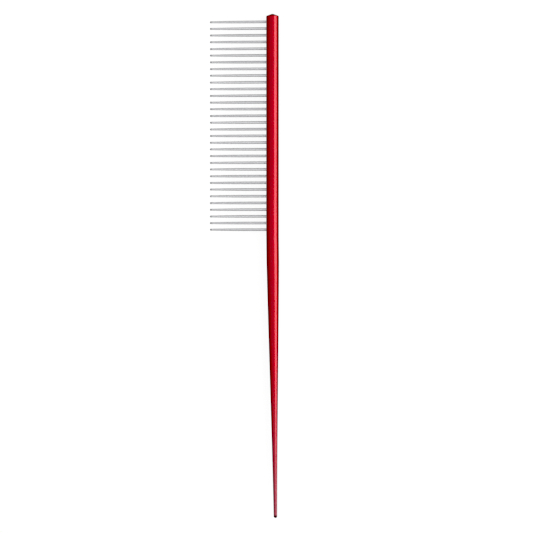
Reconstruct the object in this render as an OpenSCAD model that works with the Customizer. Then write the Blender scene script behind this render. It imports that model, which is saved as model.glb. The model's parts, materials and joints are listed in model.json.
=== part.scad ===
// Pin-tail comb. One round metal bar runs straight through the pins and the grip and
// then tapers to a parting tail. A single row of tapered steel pins is pressed into it.
//
// The comb lies as it rests on a table: the bar's underside and the pin tips touch Z = 0.
// +Y runs along the bar to its head, the pins point to -X and dip to the table, and the
// origin is on the table under the middle of the whole comb.

/* [Spine] */
// Diameter of the bar through the pins and the grip
spine_d = 6; // [4.5:0.1:9]
// Height of the shallow cone that closes the head end
head_cone_h = 1; // [0.4:0.1:3]
// Diameter of the blunt point on that cone
head_flat_d = 0.8; // [0.2:0.1:2]
// From the cone's base to the first pin's axis
head_margin = 2.8; // [1.5:0.1:12]
// Plain round length from the last pin's axis to the start of the taper
grip_len = 15; // [6:0.5:60]

/* [Tail] */
// Length of the tapered tail, with its rounded tip
tail_len = 124.2; // [60:0.1:180]
// Diameter of the tail at its rounded tip
tail_tip_d = 1.6; // [1:0.1:3]
// Steepness of the taper where it starts, as a share of a straight taper's
taper_in = 0.8; // [0.4:0.05:1.2]
// Steepness of the taper at the tip, as a share of a straight taper's
taper_out = 0.6; // [0.4:0.05:1.2]
// Angle in degrees by which the grip and tail lean back from the pins
tail_lean = 0.6; // [0:0.05:2]
// How far the grip is ground below the spine, all round
grip_relief = 0.02; // [0.02:0.01:0.2]

/* [Pins] */
// Number of pins in the row
pin_count = 32; // [4:1:59]
// Distance from one pin's axis to the next
pin_pitch = 3.24; // [2.4:0.02:6]
// Length of a pin outside the bar
pin_reach = 27.3; // [16:0.1:45]
// Diameter of a pin where it leaves the bar
pin_d = 1.2; // [0.9:0.05:1.6]
// Length outside the bar before a pin starts to thin
pin_full_len = 9; // [2:0.5:14]
// Diameter of a pin just behind its tip
pin_neck_d = 0.8; // [0.5:0.02:0.88]
// Diameter of the small ball that rounds a pin's tip
pin_ball_d = 0.92; // [0.82:0.02:1.2]
// How late a pin thins: 1 is a straight taper, more keeps it full for longer
pin_thinning = 1.6; // [1:0.1:3]

/* [Holes for the pins] */
// Metal left between a hole's floor and the back of the bar
back_wall = 1.8; // [1:0.1:2.6]
// Radial gap between a pin and its hole, 0 when pressed line to line
pin_fit = 0; // [0:0.01:0.1]
// Gap between a pin's inner end and its hole's floor
pin_end_gap = 0.1; // [0:0.05:0.5]
// Width of the chamfer on a pin's inner end
pin_lead = 0.15; // [0.05:0.05:0.3]
// Width of the chamfer around a hole's mouth
mouth_chamfer = 0.15; // [0.08:0.01:0.4]
// Angle of the drill's point in degrees
drill_point = 118; // [90:1:140]

/* [Hidden] */
$fn = 64;
// How far a cutting shape runs past the surface that it cuts
past = 1;
// How far the grip is rooted inside the spine
grip_root = 0.5;
// Cone bands that make up the tail's taper and a pin's taper
tail_bands = 24;
pin_bands = 6;

spine_r = spine_d / 2;
grip_r = spine_r - grip_relief;
tip_r = tail_tip_d / 2;
pin_r = pin_d / 2;
neck_r = pin_neck_d / 2;
ball_r = pin_ball_d / 2;
hole_r = pin_r + pin_fit;

// Along the bar, Y = 0 is the bend where the spine ends, half a pitch behind the last pin.
// From there the plain grip and the tail run on straight, up to the tip ball's centre.
grip_run = grip_len - pin_pitch / 2;
tail_run = tail_len - tip_r;
spine_len = head_margin + (pin_count - 0.5) * pin_pitch;
function pin_y(i) = spine_len - head_margin - (i - 1) * pin_pitch;

// Along a pin, 0 is the bar's axis and the numbers grow towards the tip.
hole_floor = back_wall - spine_r;
pin_inner_end = hole_floor + pin_end_gap;
pin_ball_at = spine_r + pin_reach - ball_r;
pin_taper_from = spine_r + pin_full_len;

// Share of the tail's thinning that is done at t, from 0 at the grip to 1 at the tip
function taper(t) = taper_in * t + (3 - 2 * taper_in - taper_out) * t * t
    + (taper_in + taper_out - 2) * t * t * t;
function tail_r(t) = grip_r + (tip_r - grip_r) * taper(t);
function pin_taper_r(t) = pin_r + (neck_r - pin_r) * pow(t, pin_thinning);

// The comb rolls about its bar until the pin tips touch the table.
rest_tilt = asin((spine_r - ball_r) / pin_ball_at);

// Box around the comb as it lies, measured from the bend on the bar's axis
x_low = -pin_ball_at * cos(rest_tilt) - ball_r;
x_high = max(spine_r, max([for (k = [0:tail_bands]) let (t = k / tail_bands)
    (grip_run + t * tail_run) * sin(tail_lean) * cos(rest_tilt) + tail_r(t)]));
y_low = -(grip_run + tail_run) * cos(tail_lean) - tip_r;
y_high = spine_len + head_cone_h;

function pin_name(i) = str("pin_", i < 10 ? "0" : "", i);

// Places the comb, which is modelled flat around its bar, as it lies on the table.
module lying() {
    translate([-(x_low + x_high) / 2, -(y_low + y_high) / 2, spine_r])
        rotate([0, -rest_tilt, 0])
            children();
}

// Turns what is modelled along +Z to run along -X, out of the bar's pin side.
module at_pin(i) {
    translate([0, pin_y(i), 0])
        rotate([0, -90, 0])
            children();
}

// Straight bar through the pins, closed by the shallow head cone
module spine() {
    rotate([-90, 0, 0])
        rotate_extrude()
            polygon([
                [0, 0],
                [spine_r, 0],
                [spine_r, spine_len],
                [head_flat_d / 2, spine_len + head_cone_h],
                [0, spine_len + head_cone_h]]);
}

// Plain grip and tapered tail with a round tip, leaning back from the bend
module handle() {
    rotate([90, 0, tail_lean]) {
        rotate_extrude()
            polygon(concat(
                [[0, -grip_root], [grip_r, -grip_root]],
                [for (k = [0:tail_bands]) let (t = k / tail_bands)
                    [tail_r(t), grip_run + t * tail_run]],
                [[0, grip_run + tail_run]]));
        translate([0, 0, grip_run + tail_run])
            sphere(r = tip_r);
    }
}

// Blind hole for one pin: drilled, with the drill's point in its floor and a chamfered mouth
module pin_hole() {
    rotate_extrude()
        polygon([
            [0, hole_floor - hole_r / tan(drill_point / 2)],
            [hole_r, hole_floor],
            [hole_r, spine_r - mouth_chamfer],
            [hole_r + mouth_chamfer + past, spine_r + past],
            [0, spine_r + past]]);
}

module comb_bar() {
    color("firebrick")
        lying()
            difference() {
                union() {
                    spine();
                    handle();
                }
                for (i = [1:pin_count])
                    at_pin(i) pin_hole();
            }
}

// One pin: a shank in its hole, a full stretch, a taper that steepens, and a small ball
module pin(i) {
    color("silver")
        lying()
            at_pin(i) {
                rotate_extrude()
                    polygon(concat(
                        [[0, pin_inner_end],
                         [pin_r - pin_lead, pin_inner_end],
                         [pin_r, pin_inner_end + pin_lead]],
                        [for (k = [0:pin_bands]) let (t = k / pin_bands)
                            [pin_taper_r(t), pin_taper_from + t * (pin_ball_at - pin_taper_from)]],
                        [[0, pin_ball_at]]));
                translate([0, 0, pin_ball_at])
                    sphere(r = ball_r);
            }
}

comb_bar();
for (i = [1:pin_count])
    pin(i);
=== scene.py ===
# %% [markdown]
# # A pin-tail comb
# A pin-tail comb parts and sections hair. It is a single round metal bar, anodised red.
# Thirty-two steel pins are pressed into one side of it, and its far end tapers to a slim
# tail that draws the parting. It has no joints, so everything rides on one body.
#
# The engineering model comes first and is loaded as a fixed frame. It says where each
# piece is, and this script only makes the pieces look like metal.

# %% Load the frame
import json
import math

import bpy
from mathutils import Euler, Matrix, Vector


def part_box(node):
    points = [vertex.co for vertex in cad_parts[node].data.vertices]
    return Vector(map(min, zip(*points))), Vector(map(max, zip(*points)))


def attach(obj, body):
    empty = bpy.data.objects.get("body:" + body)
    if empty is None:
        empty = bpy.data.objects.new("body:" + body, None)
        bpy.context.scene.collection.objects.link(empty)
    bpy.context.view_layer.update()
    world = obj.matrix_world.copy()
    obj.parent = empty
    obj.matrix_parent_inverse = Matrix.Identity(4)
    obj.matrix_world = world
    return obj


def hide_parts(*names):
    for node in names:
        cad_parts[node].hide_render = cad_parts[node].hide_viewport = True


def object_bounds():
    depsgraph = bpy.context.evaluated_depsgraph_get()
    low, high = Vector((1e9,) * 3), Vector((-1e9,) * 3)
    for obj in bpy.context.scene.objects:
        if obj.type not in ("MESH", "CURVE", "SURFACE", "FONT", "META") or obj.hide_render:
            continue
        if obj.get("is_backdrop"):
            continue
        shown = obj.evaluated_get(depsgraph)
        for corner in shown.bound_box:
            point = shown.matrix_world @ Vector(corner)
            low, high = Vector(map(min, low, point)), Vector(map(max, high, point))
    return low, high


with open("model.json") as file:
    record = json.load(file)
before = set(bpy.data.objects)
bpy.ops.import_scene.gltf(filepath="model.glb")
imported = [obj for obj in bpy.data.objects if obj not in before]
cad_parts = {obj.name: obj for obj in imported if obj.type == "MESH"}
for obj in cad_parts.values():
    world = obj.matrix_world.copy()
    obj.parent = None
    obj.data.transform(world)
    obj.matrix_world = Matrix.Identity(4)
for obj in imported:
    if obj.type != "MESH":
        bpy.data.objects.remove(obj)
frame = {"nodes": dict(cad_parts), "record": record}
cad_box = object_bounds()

MM = 0.001
BODY = "root"


def in_mm(values):
    return [round(value / MM, 2) for value in values]


print("engineering model, lowest and highest corner in mm:", in_mm(cad_box[0]), in_mm(cad_box[1]))

# %% [markdown]
# ## The camera
# A long, thin object is best seen from straight above, like a tool laid out on a bench.
# A long lens far away keeps both ends at the same scale. A shorter lens would make the
# head and the tail lean outwards. The camera stands to the right of the comb's middle, so
# that the bar, and not the space between bar and pin tips, is near the centre of the frame.

# %% Camera straight above the comb
VIEW_WIDTH = 257.5 * MM
VIEW_RIGHT_OF_MIDDLE = 10.65 * MM
VIEW_BELOW_MIDDLE = 0.3 * MM
LENS_MM = 200
SENSOR_MM = 36

middle = (cad_box[0] + cad_box[1]) / 2
camera_data = bpy.data.cameras.new("camera")
camera_data.lens = LENS_MM
camera_data.sensor_width = SENSOR_MM
camera = bpy.data.objects.new("camera", camera_data)
bpy.context.scene.collection.objects.link(camera)
bpy.context.scene.camera = camera
camera_height = VIEW_WIDTH * LENS_MM / SENSOR_MM
camera.location = middle + Vector((VIEW_RIGHT_OF_MIDDLE, -VIEW_BELOW_MIDDLE, camera_height))
print("camera", round(camera_height, 3), "m above the comb, frame", in_mm([VIEW_WIDTH]), "mm wide")

# %% [markdown]
# ## What the frame tells
# The comb lies on a table. It rests on its bar and on its pin tips, so it is rolled by a few
# degrees. Its grip and tail also lean back a little from the line of the spine. Both angles
# are hidden in one direction that the frame records: the axis of the grip. Reading them from
# there is safer than typing them again, because a change in the model then carries over.

# %% Two angles from the grip's axis
grip = frame["record"]["mounts"][0]
grip_axis = Vector(grip["axis"])
grip_middle = Vector(grip["pos_m"])
grip_radius = grip["dims"]["r_mm"] * MM
grip_run = grip["dims"]["length_mm"] * MM
roll = math.atan2(grip_axis.z, grip_axis.x)
lean = math.acos(-grip_axis.y)
print("rolled", round(math.degrees(roll), 2), "and leaning", round(math.degrees(lean), 2), "degrees")

# %% Bar and pins from their boxes
pin_names = sorted(name for name in frame["nodes"] if name.startswith("pin_"))
pin_count = len(pin_names)
bar_low, bar_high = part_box("comb_bar")
first_low, first_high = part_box(pin_names[0])
last_low, last_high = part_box(pin_names[-1])

spine_radius = (bar_high.z - bar_low.z) / 2
pin_radius = (first_high.y - first_low.y) / 2
first_pin_y = (first_low.y + first_high.y) / 2
last_pin_y = (last_low.y + last_high.y) / 2
pitch = (first_pin_y - last_pin_y) / (pin_count - 1)
print(pin_count, "pins", in_mm([pitch]), "mm apart,", in_mm([2 * pin_radius]), "mm thick")

# %% [markdown]
# ## One origin for the flat comb
# It is easiest to model the comb flat, with its bar along Y and its pins along -X, and to
# lay it down at the very end. The origin of that flat comb is the bend, where the spine ends
# and the grip begins. The bend is on the bar's axis, half a grip in front of the grip's middle.

# %% From the flat comb to the comb on the table
bend = grip_middle - grip_axis * grip_run / 2
lay_turn = Euler((0, -roll, 0))
first_pin_along = first_pin_y - bend.y
head_along = bar_high.y - bend.y
handle_length = (bend.y - bar_low.y) / math.cos(lean)
print("bend at", in_mm(bend), "mm")
print("from it to the head and to the tail's end", in_mm([head_along, handle_length]), "mm")

# %% [markdown]
# ## Arithmetic with nodes
# Geometry and materials are both built from nodes, and formulas in nodes soon become long
# chains of small boxes. This class wraps one output of a node. Adding or multiplying two
# wraps puts the right Math node in the tree, so that a formula reads like a formula. One
# method, make, adds any other kind of node: it takes the node's type, its settings, and the
# values or wires for its inputs.


# %% The wrap
class Wire:
    """One output of a node, which takes part in Python's arithmetic."""

    def __init__(self, tree, output=None):
        self.tree = tree
        self.output = output

    def make(self, kind, settings=None, sockets=None, output=0):
        """Adds a node, gives it its settings and then its inputs, and wraps one output."""
        node = self.tree.nodes.new(kind)
        for name, value in (settings or {}).items():
            if name == "stops":
                fill_ramp(node.color_ramp, value)
            else:
                setattr(node, name, value)
        for key, value in (sockets or {}).items():
            if isinstance(value, Wire):
                self.tree.links.new(value.output, node.inputs[key])
            else:
                node.inputs[key].default_value = value
        return Wire(self.tree, node.outputs[output] if len(node.outputs) else None)

    def other(self, name):
        """Another output of the same node."""
        return Wire(self.tree, self.output.node.outputs[name])

    def math(self, operation, *values):
        sockets = dict(enumerate(values))
        return self.make("ShaderNodeMath", {"operation": operation}, sockets)

    def __add__(self, value):
        return self.math("ADD", self, value)

    def __radd__(self, value):
        return self.math("ADD", value, self)

    def __sub__(self, value):
        return self.math("SUBTRACT", self, value)

    def __rsub__(self, value):
        return self.math("SUBTRACT", value, self)

    def __mul__(self, value):
        return self.math("MULTIPLY", self, value)

    def __rmul__(self, value):
        return self.math("MULTIPLY", value, self)

    def __truediv__(self, value):
        return self.math("DIVIDE", self, value)

    def __rtruediv__(self, value):
        return self.math("DIVIDE", value, self)

    def __pow__(self, value):
        return self.math("POWER", self, value)

    def __rpow__(self, value):
        return self.math("POWER", value, self)

    def clamped(self):
        return self.math("MINIMUM", self.math("MAXIMUM", self, 0.0), 1.0)

    def root(self):
        return self.math("SQRT", self.math("MAXIMUM", self, 0.0))


def fill_ramp(ramp, stops):
    """Sets a colour ramp's stops, given as pairs of place and grey level."""
    while len(ramp.elements) < len(stops):
        ramp.elements.new(1.0)
    for element, (place, level) in zip(ramp.elements, stops):
        element.position = place
        element.color = (level, level, level, 1.0)


# %% [markdown]
# ## Trees with named sizes
# A Geometry Nodes tree is a recipe, and its inputs are the sizes that a person would want to
# change. The first helper makes a tree from a list of names and values. The second one cooks
# the recipe: it sets the inputs on a modifier, takes the finished mesh, and throws the
# modifier away, so that what is left is a plain mesh like any other. A Boolean in a recipe
# can leave an empty material slot behind, so the mesh gets a clean list with one finish.


# %% Start a tree
def start_tree(name, sizes):
    """A new tree with one named input for each size, as wires, and its output node."""
    tree = bpy.data.node_groups.new(name, "GeometryNodeTree")
    kinds = {float: "NodeSocketFloat", int: "NodeSocketInt", Vector: "NodeSocketVector"}
    for label, value in sizes.items():
        kind = kinds.get(type(value), "NodeSocketMaterial")
        tree.interface.new_socket(label, in_out="INPUT", socket_type=kind)
    tree.interface.new_socket("Mesh", in_out="OUTPUT", socket_type="NodeSocketGeometry")
    entry = tree.nodes.new("NodeGroupInput")
    leave = tree.nodes.new("NodeGroupOutput")
    wires = {label: Wire(tree, entry.outputs[label]) for label in sizes}
    return tree, wires, leave


# %% Cook a tree
def cook(name, tree, sizes):
    """The tree's mesh as a plain object at the origin."""
    seed = bpy.data.objects.new(name + "_seed", bpy.data.meshes.new(name + "_seed"))
    bpy.context.scene.collection.objects.link(seed)
    modifier = seed.modifiers.new("recipe", "NODES")
    modifier.node_group = tree
    for item in tree.interface.items_tree:
        if item.in_out == "INPUT":
            value = sizes[item.name]
            modifier[item.identifier] = value[:] if isinstance(value, Vector) else value
    depsgraph = bpy.context.evaluated_depsgraph_get()
    mesh = bpy.data.meshes.new_from_object(seed.evaluated_get(depsgraph))
    seed.modifiers.remove(modifier)
    bpy.data.objects.remove(seed)
    mesh.name = name
    mesh.materials.clear()
    mesh.materials.append(sizes["Finish"])
    mesh.polygons.foreach_set("material_index", [0] * len(mesh.polygons))
    piece = bpy.data.objects.new(name, mesh)
    bpy.context.scene.collection.objects.link(piece)
    return piece


# %% [markdown]
# ## Rolling a sheet into a round piece
# Everything on this comb is round, as if it came off a lathe. A lathe shape needs one rule:
# how thick it is at each distance from its end. So the recipe takes a flat sheet, rolls it
# into a tube, and gives each ring the radius that the rule says. Where the radius is zero the
# ring closes to a point. The rings are not evenly spaced. A cosine packs them at both ends,
# where a rounded tip needs them, and spreads them along the plain middle.


# %% The sheet and its rings
JOINT_WIDTH = 0.0005 * MM
NEARLY_HALF = 0.4999


def flat_sheet(start, rings, sides):
    """A grid, and for each of its points the share of the length and the angle round it."""
    grid = start.make(
        "GeometryNodeMeshGrid",
        sockets={"Size X": 1.0, "Size Y": 1.0, "Vertices X": sides + 1, "Vertices Y": rings + 1},
    )
    stored = start.make("ShaderNodeSeparateXYZ", sockets={0: grid.other("UV Map")})
    return grid, stored.other("Y"), stored.other("X") * (2 * math.pi)


def sheet_of_rings(start, length, rings, sides):
    """The sheet with its points' distances along a piece of that length, packed at both ends.

    The last of the four is 0 on the first and last ring, where the piece closes, and 1 elsewhere.
    """
    grid, share, angle = flat_sheet(start, rings, sides)
    along = length * (1.0 - start.math("COSINE", share * math.pi)) * 0.5
    from_middle = start.math("ABSOLUTE", share - 0.5)
    between_ends = start.math("LESS_THAN", from_middle, NEARLY_HALF)
    return grid, along, angle, between_ends


def closed_tube(start, grid, place):
    """Rolls the sheet up by moving its points to place, and joins its seam and its end rings."""
    rolled = start.make("GeometryNodeSetPosition", sockets={"Geometry": grid, "Position": place})
    return start.make(
        "GeometryNodeMergeByDistance", sockets={"Geometry": rolled, "Distance": JOINT_WIDTH}
    )


# %% [markdown]
# ## The bar's rule
# The bar is one piece of stock, turned in a lathe: a shallow cone closes its head, the spine
# and grip are plain, and the tail thins in a long S before it ends in a small round tip. Each
# stretch has its own formula. They are joined by taking the smaller radius, and a smooth
# minimum does the work of a file, which breaks the sharp corner where two stretches meet.

# %% The bar's sizes
HOLE_CLEARANCE = 0.01 * MM

bar_sizes = {
    "Head to Bend": head_along,
    "Handle Length": handle_length,
    "Lean": lean,
    "Spine Radius": spine_radius,
    "Cone Height": 1.0 * MM,
    "Nose Radius": 0.4 * MM,
    "Corner Rounding": 0.5 * MM,
    "Grip Radius": grip_radius,
    "Grip Length": grip_run,
    "Tip Radius": 0.8 * MM,
    "Taper In": 0.8,
    "Taper Out": 0.6,
    "Bend Softness": 4.0 * MM,
    "Rings": 360,
    "Sides": 96,
    "Pins": pin_count,
    "First Pin": first_pin_along,
    "Pitch": pitch,
    "Hole Radius": pin_radius + HOLE_CLEARANCE,
    "Hole Floor": -1.2 * MM,
    "Mouth Width": 0.15 * MM,
    "Lay Turn": Vector(lay_turn),
    "Lay Place": bend,
    "Finish": None,
}


# %% Radius of the tail, and of the head's cone
def tail_radius(size, past_bend):
    """Grip radius that thins along an S to the tip radius."""
    tail_run = size["Handle Length"] - size["Grip Length"] - size["Tip Radius"]
    t = ((past_bend - size["Grip Length"]) / tail_run).clamped()
    steep_in = size["Taper In"]
    steep_out = size["Taper Out"]
    square = t * t * (3 - 2 * steep_in - steep_out)
    cube = t * t * t * (steep_in + steep_out - 2)
    thinned = t * steep_in + square + cube
    return size["Grip Radius"] + (size["Tip Radius"] - size["Grip Radius"]) * thinned


def cone_radius(size, along):
    """A straight cone whose point is rounded, as a hyperbola is between its two straight arms."""
    slope = (size["Spine Radius"] - size["Nose Radius"]) / size["Cone Height"]
    blunt = size["Nose Radius"] / slope
    return slope * (along * (along + 2 * blunt)).root()


# %% The whole bar, from head to tip
def bar_surface(start, size):
    """The closed bar in the flat comb's frame, before it is drilled."""
    length = size["Head to Bend"] + size["Handle Length"]
    grid, along, angle, between_ends = sheet_of_rings(start, length, size["Rings"], size["Sides"])
    past_bend = along - size["Head to Bend"]
    past_ledge = (past_bend / size["Bend Softness"] + 0.5).clamped()
    thinner = tail_radius(size, past_bend) - size["Spine Radius"]
    body = size["Spine Radius"] + thinner * past_ledge
    past_ball = start.math("MAXIMUM", along - (length - size["Tip Radius"]), 0.0)
    domed = (body * body - past_ball * past_ball).root()
    rounded = start.math("SMOOTH_MIN", domed, cone_radius(size, along), size["Corner Rounding"])
    radius = rounded * between_ends
    handle = start.math("SMOOTH_MAX", past_bend, 0.0, size["Bend Softness"])
    aside = handle * start.math("SINE", size["Lean"])
    back = (along - handle) + handle * start.math("COSINE", size["Lean"])
    place = start.make(
        "ShaderNodeCombineXYZ",
        sockets={
            "X": aside + radius * start.math("COSINE", angle),
            "Y": size["Head to Bend"] - back,
            "Z": radius * start.math("SINE", angle),
        },
    )
    return closed_tube(start, grid, place)


# %% [markdown]
# ## Drilling the bar
# Each pin sits in its own blind hole, and the hole's mouth has a small countersink that
# leads the pin in when it is pressed. From close up this is what shows that the pins are
# set into the bar and not painted on. One drill is turned by the same rolling recipe, then
# copied to every hole, and the row of drills is cut out of the bar in one go.


# %% A drill for one hole
DRILL_SIDES = 32
DRILL_RINGS = 4
FLARE_LENGTH = 1.0 * MM


def drill(start, size):
    """Straight from the hole's floor to just under the surface, then flaring at 45 degrees."""
    grid, share, angle = flat_sheet(start, DRILL_RINGS, DRILL_SIDES)
    ring = share * DRILL_RINGS
    flare_at = size["Spine Radius"] - size["Mouth Width"]
    flare_run = size["Mouth Width"] + FLARE_LENGTH
    straight = (ring - 1.0).clamped()
    flare = (ring - 2.0).clamped()
    away = size["Hole Floor"] + straight * (flare_at - size["Hole Floor"]) + flare * flare_run
    open_ends = ring.clamped() * (DRILL_RINGS - ring).clamped()
    radius = (size["Hole Radius"] + flare * flare_run) * open_ends
    return closed_tube(start, grid, on_pin_axis(start, away, radius, angle))


def on_pin_axis(start, away, radius, angle):
    """A point beside an axis that runs from the bar to -X."""
    return start.make(
        "ShaderNodeCombineXYZ",
        sockets={
            "X": 0.0 - away,
            "Y": radius * start.math("COSINE", angle),
            "Z": 0.0 - radius * start.math("SINE", angle),
        },
    )


# %% Copies along the spine
def row_of_copies(start, size, shape, turn=None):
    """One copy of shape at each pin's place."""
    first = start.make("ShaderNodeCombineXYZ", sockets={"Y": size["First Pin"]})
    step = start.make("ShaderNodeCombineXYZ", sockets={"Y": 0.0 - size["Pitch"]})
    places = start.make(
        "GeometryNodeMeshLine",
        {"mode": "OFFSET"},
        {"Count": size["Pins"], "Start Location": first, "Offset": step},
    )
    sockets = {"Points": places, "Instance": shape}
    if turn:
        sockets["Rotation"] = turn
    return start.make("GeometryNodeInstanceOnPoints", sockets=sockets)


# %% [markdown]
# ## Smooth faces and sharp rims
# Smooth shading hides the facets of a round piece, but it also smears light across a real
# edge, such as the rim of a hole. So every edge that folds sharply is kept crisp. After that
# the finished piece is rolled and moved to where it lies on the table.

# %% Shade, lay down and finish
SHARP_ABOVE = math.radians(32)


def smooth_with_rims(start, shape):
    """Smooth shading everywhere but across edges that fold by more than SHARP_ABOVE."""
    smooth = start.make("GeometryNodeSetShadeSmooth", sockets={"Geometry": shape, "Shade Smooth": True})
    fold = start.make("GeometryNodeInputMeshEdgeAngle")
    is_rim = start.make("FunctionNodeCompare", {"operation": "GREATER_THAN"}, {0: fold, 1: SHARP_ABOVE})
    return start.make(
        "GeometryNodeSetShadeSmooth",
        {"domain": "EDGE"},
        {"Geometry": smooth, "Selection": is_rim, "Shade Smooth": False},
    )


def lay_and_finish(start, size, shape, leave):
    """Copies made real, the flat comb's place changed to the table's, and the material set."""
    real = start.make("GeometryNodeRealizeInstances", sockets={"Geometry": shape})
    laid = start.make(
        "GeometryNodeTransform",
        sockets={"Geometry": real, "Translation": size["Lay Place"], "Rotation": size["Lay Turn"]},
    )
    done = start.make("GeometryNodeSetMaterial", sockets={"Geometry": laid, "Material": size["Finish"]})
    start.tree.links.new(done.output, leave.inputs["Mesh"])


# %% The bar's tree
bar_tree, bar_size, bar_leave = start_tree("turned_bar", bar_sizes)
bar_start = Wire(bar_tree)
drills = bar_start.make(
    "GeometryNodeRealizeInstances",
    sockets={"Geometry": row_of_copies(bar_start, bar_size, drill(bar_start, bar_size))},
)
drilled = bar_start.make(
    "GeometryNodeMeshBoolean",
    {"operation": "DIFFERENCE", "solver": "EXACT"},
    {"Mesh 1": bar_surface(bar_start, bar_size), "Mesh 2": drills},
)
lay_and_finish(bar_start, bar_size, smooth_with_rims(bar_start, drilled), bar_leave)
print("bar tree has", len(bar_tree.nodes), "nodes")

# %% [markdown]
# ## Tools for a finish
# A finish is a material made from nodes. Real metal is never one flat colour: it was drawn or
# turned, polished, dyed and handled, and each of those left a pattern of its own size. All of
# the patterns here read the piece's own coordinates, in metres, so they stay put on the metal.


# %% Patterns that stay on the metal
def new_finish(name):
    material = bpy.data.materials.new(name)
    material.use_nodes = True
    material.node_tree.nodes.clear()
    start = Wire(material.node_tree)
    point = start.make("ShaderNodeTexCoord", output="Object")
    return material, start, point


def noise(start, point, grain, detail=2.0):
    """Soft noise from 0 to 1, whose patches have the size grain along each axis."""
    scale = Vector([1 / size for size in grain])
    stretched = start.make("ShaderNodeMapping", sockets={"Vector": point, "Scale": scale})
    sockets = {"Vector": stretched, "Scale": 1.0, "Detail": detail, "Roughness": 0.55}
    return start.make("ShaderNodeTexNoise", sockets=sockets)


def ramp(start, value, stops):
    """The value sent through a grey ramp."""
    return start.make("ShaderNodeValToRGB", {"stops": stops}, {0: value})


def blend_colour(start, amount, colour_a, colour_b):
    """colour_a where amount is 0, colour_b where it is 1."""
    sockets = {0: amount, 6: colour_a, 7: colour_b}
    return start.make("ShaderNodeMix", {"data_type": "RGBA"}, sockets, output=2)


def scratches(start, point, turn, spacing, length):
    """Sparse thin lines, 1 on a scratch and 0 elsewhere, that all run one way."""
    turned = start.make("ShaderNodeMapping", sockets={"Vector": point, "Rotation": turn})
    lines = noise(start, turned, (spacing, length, spacing), 0.0)
    return ramp(start, lines, [(0.0, 0.0), (0.64, 0.0), (0.68, 1.0), (1.0, 1.0)])


# %% [markdown]
# ## Red anodised aluminium
# Anodising grows a clear, porous skin of oxide on aluminium, dyes it, and seals it. Light goes
# in through the dye, bounces off bright metal and comes out through the dye again. That makes
# a metal whose reflections are red. The metal was etched satin before it was dyed, so its own
# reflection is broad and soft, while the sealed skin adds a crisp, clear one on top. So the
# shader is a satin metal with a deep red colour, under a glossy coat.
#
# Four things vary over it. The dye takes a little unevenly, in long soft streaks. The bar was
# drawn lengthwise, which leaves hairlines. Towards its thin end the tail is coloured a duller,
# greyer red as painted shade, for a highlight that narrows there, and its tip is coloured almost
# black as painted shade, for a round end that mirrors dim surroundings. And years of use have
# rubbed the corner of the head and left fine scratches on the grip.

# %% Colours of the dye, and of the painted shade at the tail's end
DYE = (0.46, 0.0008, 0.017, 1.0)
DYE_DEEP = (0.34, 0.0005, 0.012, 1.0)
DYE_RUBBED = (0.48, 0.025, 0.04, 1.0)
THIN_END_SHADE_COLOUR = (0.27, 0.050, 0.078, 1.0)
TIP_SHADE_COLOUR = (0.030, 0.006, 0.012, 1.0)
DYE_EDGE = (0.80, 0.22, 0.26, 1.0)

# %% The bar's patterns
STREAK_GRAIN = (1.2 * MM, 45 * MM, 1.2 * MM)
CLOUD_GRAIN = (9 * MM, 14 * MM, 9 * MM)
HAIRLINE_GRAIN = (0.16 * MM, 22 * MM, 0.16 * MM)
NICK_WIDTH = 0.20 * MM
NICK_LENGTH = 7 * MM
NICK_TURN = (0.0, 0.0, 0.5)
CROSS_WIDTH = 0.22 * MM
CROSS_LENGTH = 5 * MM
CROSS_TURN = (0.3, 0.0, -0.9)

red, red_start, red_point = new_finish("red_anodised_finish")
streaks = noise(red_start, red_point, STREAK_GRAIN, 3.0)
clouds = noise(red_start, red_point, CLOUD_GRAIN, 2.0)
hairlines = noise(red_start, red_point, HAIRLINE_GRAIN, 2.0)
nicks = scratches(red_start, red_point, NICK_TURN, NICK_WIDTH, NICK_LENGTH)
cross_nicks = scratches(red_start, red_point, CROSS_TURN, CROSS_WIDTH, CROSS_LENGTH)

# %% The head's corner and the grip, which are rubbed
CORNER_WEAR = 0.35 * MM
WEAR_BEHIND_GRIP = 18 * MM
WEAR_REACH = 38 * MM
PATCHY = [(0.35, 0.2), (0.7, 1.0)]

bar_place = red_start.make("ShaderNodeSeparateXYZ", sockets={0: red_point})
along_bar = bar_place.other("Y")
head_corner = bar_high.y - bar_sizes["Cone Height"]
from_corner = red_start.math("ABSOLUTE", along_bar - head_corner)
corner_rub = (1.0 - from_corner / CORNER_WEAR).clamped()
from_wear = red_start.math("ABSOLUTE", along_bar - (grip_middle.y - WEAR_BEHIND_GRIP))
grip_rub = (1.0 - from_wear / WEAR_REACH).clamped()
rubbed = corner_rub * ramp(red_start, clouds, PATCHY)

# %% The tail's end, coloured with painted shade
# Painted shade: the tail is coloured duller towards its thin end, for the highlight that narrows there.
THIN_END_SHADE_LENGTH = 70 * MM
TIP_SHADE_LENGTH = 1.6 * MM
TIP_SHADE_FADE = 1.0 * MM

from_end = along_bar - bar_low.y
thin_end = (1.0 - from_end / THIN_END_SHADE_LENGTH).clamped()
# Painted shade: the tip is coloured almost black, for a round end that mirrors dim surroundings.
tip_shade = ((TIP_SHADE_LENGTH - from_end) / TIP_SHADE_FADE).clamped()

# %% The bar's colour
dye_depth = (streaks * 0.6 + clouds * 0.4 + hairlines * 1.2 - 0.85).clamped()
dyed = blend_colour(red_start, dye_depth, DYE, DYE_DEEP)
# Painted shade: a duller, greyer red towards the thin end.
end_shaded = blend_colour(red_start, thin_end ** 1.3 * 0.9, dyed, THIN_END_SHADE_COLOUR)
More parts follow.
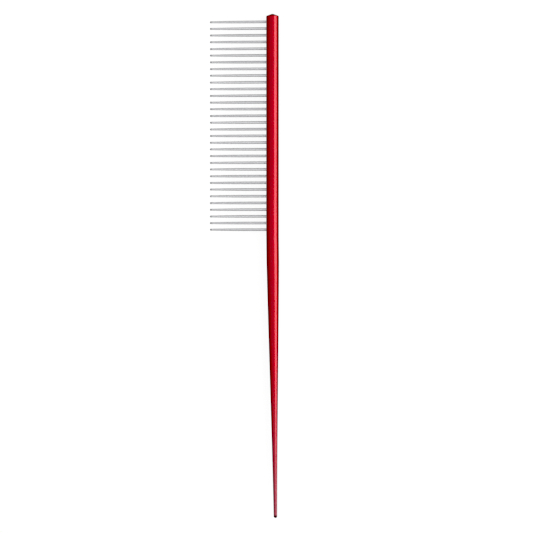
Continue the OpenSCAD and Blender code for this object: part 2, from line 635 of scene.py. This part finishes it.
# Painted shade: an almost black tip.
tip_shaded = blend_colour(red_start, tip_shade, end_shaded, TIP_SHADE_COLOUR)
scratched = nicks * (0.15 + grip_rub * 0.2) + cross_nicks * grip_rub * 0.25
worn = (rubbed * 0.35 + scratched).clamped()
red_colour = blend_colour(red_start, worn, tip_shaded, DYE_RUBBED)

# %% The bar's gloss and relief
SATIN = 0.45
RED_RELIEF = 0.9
DEEPEST_LINE = 0.01 * MM
COAT = 0.95
COAT_ROUGHNESS = 0.12
COAT_IOR = 1.65

uneven = hairlines * 0.05 + clouds * 0.05 + grip_rub * streaks * 0.05
red_rough = SATIN + uneven + rubbed * 0.08 + nicks * 0.08
lines = hairlines * 0.35 + streaks * 0.25
red_height = lines - nicks * 0.5 - cross_nicks * 0.4 * (0.3 + grip_rub)
red_bump = red_start.make(
    "ShaderNodeBump",
    sockets={"Height": red_height, "Strength": RED_RELIEF, "Distance": DEEPEST_LINE},
)

# %% The bar's shader
red_surface = red_start.make(
    "ShaderNodeBsdfPrincipled",
    sockets={
        "Base Color": red_colour,
        "Metallic": 1.0,
        "Roughness": red_rough,
        "Specular Tint": DYE_EDGE,
        "Coat Weight": COAT - rubbed * 0.4 - tip_shade * 0.6,
        "Coat Roughness": COAT_ROUGHNESS,
        "Coat IOR": COAT_IOR,
        "Normal": red_bump,
    },
)
red_start.make("ShaderNodeOutputMaterial", sockets={"Surface": red_surface})
print("red finish has", len(red.node_tree.nodes), "nodes")

# %% Make the bar
bar_sizes["Finish"] = red
bar = cook("comb_bar_turned", bar_tree, bar_sizes)
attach(bar, BODY)
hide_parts("comb_bar")
print("bar has", len(bar.data.polygons), "faces")

# %% [markdown]
# ## A pin
# A pin is steel wire, cut to length. Its root is chamfered so that it starts into its hole, its
# first stretch is full, then it is ground thinner towards the hair, and it ends in a small ball
# that doesn't scratch the scalp. The ball is a little thicker than the neck behind it. A
# smooth maximum joins the two, as tumbling in grit does.

# %% The pin's sizes
BALL_RADIUS = 0.46 * MM
ball_along = (bend.x - first_low.x - BALL_RADIUS) / math.cos(roll)
pin_sizes = {
    "Inner End": -1.1 * MM,
    "Taper From": spine_radius + 9 * MM,
    "Ball Along": ball_along,
    "Pin Radius": pin_radius,
    "Neck Radius": 0.4 * MM,
    "Ball Radius": BALL_RADIUS,
    "Thinning": 1.6,
    "Neck Rounding": 0.05 * MM,
    "Lead": 0.15 * MM,
    "Rings": 56,
    "Sides": 20,
    "Pins": pin_count,
    "First Pin": first_pin_along,
    "Pitch": pitch,
    "Stray": math.radians(0.12),
    "Seed": 7,
    "Lay Turn": Vector(lay_turn),
    "Lay Place": bend,
    "Finish": None,
}
print("pins stand", in_mm([ball_along + BALL_RADIUS - spine_radius]), "mm out of the bar")


# %% One pin along -X
def pin_surface(start, size):
    """A closed pin, whose distance is measured from the bar's axis."""
    length = size["Ball Along"] + size["Ball Radius"] - size["Inner End"]
    grid, along, angle, between_ends = sheet_of_rings(start, length, size["Rings"], size["Sides"])
    away = along + size["Inner End"]
    t = ((away - size["Taper From"]) / (size["Ball Along"] - size["Taper From"])).clamped()
    shank = size["Pin Radius"] + (size["Neck Radius"] - size["Pin Radius"]) * t ** size["Thinning"]
    past_ball = away - size["Ball Along"]
    ball = (size["Ball Radius"] * size["Ball Radius"] - past_ball * past_ball).root()
    necked = start.math("SMOOTH_MAX", shank, ball, size["Neck Rounding"])
    thick = start.math("MAXIMUM", ball, necked * start.math("LESS_THAN", past_ball, 0.0))
    lead = size["Pin Radius"] - size["Lead"] + along
    radius = start.math("MINIMUM", thick, lead) * between_ends
    return closed_tube(start, grid, on_pin_axis(start, away, radius, angle))


# %% [markdown]
# ## The row of pins
# Thirty-two copies of one pin stand at the holes. Pins pressed by a machine are very nearly
# parallel, but not quite, so each is turned by a tenth of a degree or so in the comb's own
# plane, from a fixed seed. Each copy also carries a random shade, which the finish reads, as
# wire from a tumbler never comes out all alike.

# %% The pins' tree
pin_tree, pin_size, pin_leave = start_tree("row_of_pins", pin_sizes)
pin_start = Wire(pin_tree)
stray = pin_start.make(
    "FunctionNodeRandomValue",
    {"data_type": "FLOAT"},
    {2: 0.0 - pin_size["Stray"], 3: pin_size["Stray"], "Seed": pin_size["Seed"]},
    output=1,
)
stray_turn = pin_start.make("ShaderNodeCombineXYZ", sockets={"Z": stray})
copies = row_of_copies(pin_start, pin_size, pin_surface(pin_start, pin_size), stray_turn)
shade = pin_start.make(
    "FunctionNodeRandomValue",
    {"data_type": "FLOAT"},
    {2: 0.0, 3: 1.0, "Seed": pin_size["Seed"] + 1.0},
    output=1,
)
shaded = pin_start.make(
    "GeometryNodeStoreNamedAttribute",
    {"data_type": "FLOAT", "domain": "INSTANCE"},
    {"Geometry": copies, "Name": "shade", "Value": shade},
)
real_pins = pin_start.make("GeometryNodeRealizeInstances", sockets={"Geometry": shaded})
lay_and_finish(pin_start, pin_size, smooth_with_rims(pin_start, real_pins), pin_leave)

# %% [markdown]
# ## Bare steel
# The pins are not plated or painted. Steel wire is pulled through a die, which draws hairlines
# along it, and then tumbled, which dulls them. Each pin runs along X, so the lines are noise
# that is stretched along X. The ball at the tip is smoother than the shank, and it is coloured
# darker as painted shade, for a round end that mirrors dim surroundings. Near the bar the steel
# is a little rougher, and it is coloured a little darker as painted shade where the pins meet
# the bar.

# %% The pins' patterns
DRAWN_GRAIN = (14 * MM, 0.09 * MM, 0.09 * MM)
MOTTLE_GRAIN = (2.5 * MM, 0.8 * MM, 0.8 * MM)

steel, steel_start, steel_point = new_finish("pin_steel_finish")
shade_read = steel_start.make("ShaderNodeAttribute", {"attribute_name": "shade"}, output="Fac")
drawn = noise(steel_start, steel_point, DRAWN_GRAIN, 2.0)
mottle = noise(steel_start, steel_point, MOTTLE_GRAIN, 3.0)

# %% The two ends of a pin
SMOOTH_LENGTH = 1.6 * MM
BALL_SHADE_LENGTH = 0.935 * MM
BALL_SHADE_FADE = 0.55 * MM
ROOT_SHADE_LENGTH = 1.5 * MM

pin_place = steel_start.make("ShaderNodeSeparateXYZ", sockets={0: steel_point})
across = pin_place.other("X")
from_tip = across - first_low.x
smooth_tip = (1.0 - from_tip / SMOOTH_LENGTH).clamped()
# Painted shade: the ball is coloured darker, for a round end that mirrors dim surroundings.
ball_shade = ((BALL_SHADE_LENGTH - from_tip) / BALL_SHADE_FADE).clamped()
from_bar = bend.x - spine_radius - across
# Painted shade: the steel is coloured darker next to the bar, where the pins meet it; the same mask
# also makes it rougher there.
near_bar = (1.0 - from_bar / ROOT_SHADE_LENGTH).clamped()

# %% The pins' shader
STEEL = (0.68, 0.68, 0.695, 1.0)
STEEL_TONE_AND_SHADE = (0.54, 0.54, 0.56, 1.0)
STEEL_BALL_SHADE = (0.30, 0.30, 0.31, 1.0)
STEEL_METAL = 0.88
STEEL_SATIN = 0.38
STEEL_RELIEF = 0.5

# This mix holds both the pins' own random tone and the painted shade at their roots.
tone_and_root_shade = (shade_read * 0.35 + mottle * 0.35 + near_bar * 0.15 - 0.1).clamped()
shank_colour = blend_colour(steel_start, tone_and_root_shade, STEEL, STEEL_TONE_AND_SHADE)
steel_colour = blend_colour(steel_start, ball_shade, shank_colour, STEEL_BALL_SHADE)
steel_rough = STEEL_SATIN + drawn * 0.08 + mottle * 0.06 + near_bar * 0.08 - smooth_tip * 0.1
steel_height = drawn * 0.6 + mottle * 0.4
steel_bump = steel_start.make(
    "ShaderNodeBump",
    sockets={"Height": steel_height, "Strength": STEEL_RELIEF, "Distance": DEEPEST_LINE},
)
steel_surface = steel_start.make(
    "ShaderNodeBsdfPrincipled",
    sockets={
        "Base Color": steel_colour,
        "Metallic": STEEL_METAL,
        "Roughness": steel_rough,
        "Normal": steel_bump,
    },
)
steel_start.make("ShaderNodeOutputMaterial", sockets={"Surface": steel_surface})

# %% Make the pins
pin_sizes["Finish"] = steel
pins = cook("comb_pins", pin_tree, pin_sizes)
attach(pins, BODY)
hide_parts(*pin_names)
print("pins have", len(pins.data.polygons), "faces")

# %% [markdown]
# ## Floor
# A shiny tool looks cleanest on a floor so bright that it turns pure white. This floor glows
# a little, which does that and leaves only a trace of a shadow. It is hidden from
# reflections, because a round bar would otherwise mirror it along both of its edges and lose
# its outline. In a studio, black card laid beside the tool does the same.

# %% A pale floor that curves up far away
FLOOR_RADIUS = 12.0
WALL_HEIGHT = 9.0
FLOOR_SIDES = 64
SWEEP_STEPS = 8
SWEEP_RADIUS = 2.0

outline = [(0.0, 0.0), (FLOOR_RADIUS, 0.0)]
for step in range(1, SWEEP_STEPS + 1):
    turn = math.pi / 2 * step / SWEEP_STEPS
    outward = SWEEP_RADIUS * math.sin(turn)
    upward = SWEEP_RADIUS * (1 - math.cos(turn))
    outline.append((FLOOR_RADIUS + outward, upward))
outline.append((FLOOR_RADIUS + SWEEP_RADIUS, WALL_HEIGHT))
points = [(0.0, 0.0, 0.0)]
faces = []
for radius, height in outline[1:]:
    for side in range(FLOOR_SIDES):
        turn = 2 * math.pi * side / FLOOR_SIDES
        points.append((radius * math.cos(turn), radius * math.sin(turn), height))
for side in range(FLOOR_SIDES):
    beside = (side + 1) % FLOOR_SIDES
    faces.append((0, 1 + side, 1 + beside))
    for ring in range(len(outline) - 2):
        low = 1 + ring * FLOOR_SIDES
        high = low + FLOOR_SIDES
        faces.append((low + side, high + side, high + beside, low + beside))

floor_mesh = bpy.data.meshes.new("floor")
floor_mesh.from_pydata(points, [], faces)
floor = bpy.data.objects.new("floor", floor_mesh)
bpy.context.scene.collection.objects.link(floor)
floor.visible_glossy = False
floor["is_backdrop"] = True

# %% The floor's finish
FLOOR_GREY = (0.06, 0.06, 0.06, 1.0)
FLOOR_GLOW = 0.92
FLOOR_ROUGHNESS = 0.9
WHITE = (1.0, 1.0, 1.0, 1.0)
pale, pale_start, _ = new_finish("pale_floor")
pale_surface = pale_start.make(
    "ShaderNodeBsdfPrincipled",
    sockets={
        "Base Color": FLOOR_GREY,
        "Roughness": FLOOR_ROUGHNESS,
        "Emission Color": WHITE,
        "Emission Strength": FLOOR_GLOW,
    },
)
pale_start.make("ShaderNodeOutputMaterial", sockets={"Surface": pale_surface})
floor_mesh.materials.append(pale)

# %% [markdown]
# ## Light
# Metal shows what is round it, so lighting it means placing panels to be mirrored. A round bar
# mirrors the sky above it in one narrow band, squeezed across its width. A long bright panel on
# the right puts the pale stripe along the bar. A broad, weaker one overhead fills the rest with
# the bar's own red, and the steel pins with grey. A dim one on the left lifts the left edge.
# The panels are long, so that the stripe runs from the head to the tail without a break. The
# surroundings stay dim, which keeps the edges dark.


# %% Panels of light
def panel(name, side_turn, distance, width, length, brightness):
    """A soft rectangle aimed at the comb, from overhead turned towards +X by side_turn degrees."""
    data = bpy.data.lights.new(name, "AREA")
    data.shape = "RECTANGLE"
    data.size = width
    data.size_y = length
    data.energy = brightness * math.pi * width * length
    lamp = bpy.data.objects.new(name, data)
    bpy.context.scene.collection.objects.link(lamp)
    turn = Euler((0, math.radians(side_turn), 0))
    lamp.rotation_euler = turn
    lamp.location = middle + turn.to_matrix() @ Vector((0, 0, distance))
    lamp.visible_camera = False


def spread(half_angle, distance):
    """Width of a panel that is seen from -half_angle to +half_angle degrees."""
    return 2 * distance * math.tan(math.radians(half_angle))


# %% Three panels, each with its turn and half angle in degrees, and its brightness
PANEL_AWAY = 1.2
PANEL_LENGTH = 3.2
PANELS = {
    "side_panel": (57.5, 25.5, 2.8),
    "top_panel": (-16, 43, 0.74),
    "left_panel": (-74, 14, 0.55),
}
for panel_name, (side_turn, half_angle, brightness) in PANELS.items():
    width = spread(half_angle, PANEL_AWAY)
    panel(panel_name, side_turn, PANEL_AWAY, width, PANEL_LENGTH, brightness)

# %% Dim surroundings
SURROUND = 0.23
world = bpy.data.worlds.new("studio")
bpy.context.scene.world = world
world.use_nodes = True
sky = world.node_tree.nodes["Background"]
sky.inputs["Color"].default_value = (SURROUND, SURROUND, SURROUND, 1.0)

# %% [markdown]
# ## Black level
# The clear skin mirrors a little white light everywhere, which greys the red. Raising the
# black level takes that veil away, as dark walls in a studio would. The plain Standard view
# is used, because a filmic one would wash out so pure a red.

# %% Colour settings
BLACK_POINT = 0.06
colours = bpy.context.scene.view_settings
colours.view_transform = "Standard"
colours.use_curve_mapping = True
colours.curve_mapping.black_level = (BLACK_POINT, BLACK_POINT, BLACK_POINT)


# %% [markdown]
# ## Measure and finish
# The looks must not change the object's size. The box of the engineering model is printed near
# the start and the box of the finished pieces here, so that the two can be compared.

# %% Print the finished pieces' box
seen_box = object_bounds()
print("finished pieces, lowest and highest corner in mm:", in_mm(seen_box[0]), in_mm(seen_box[1]))
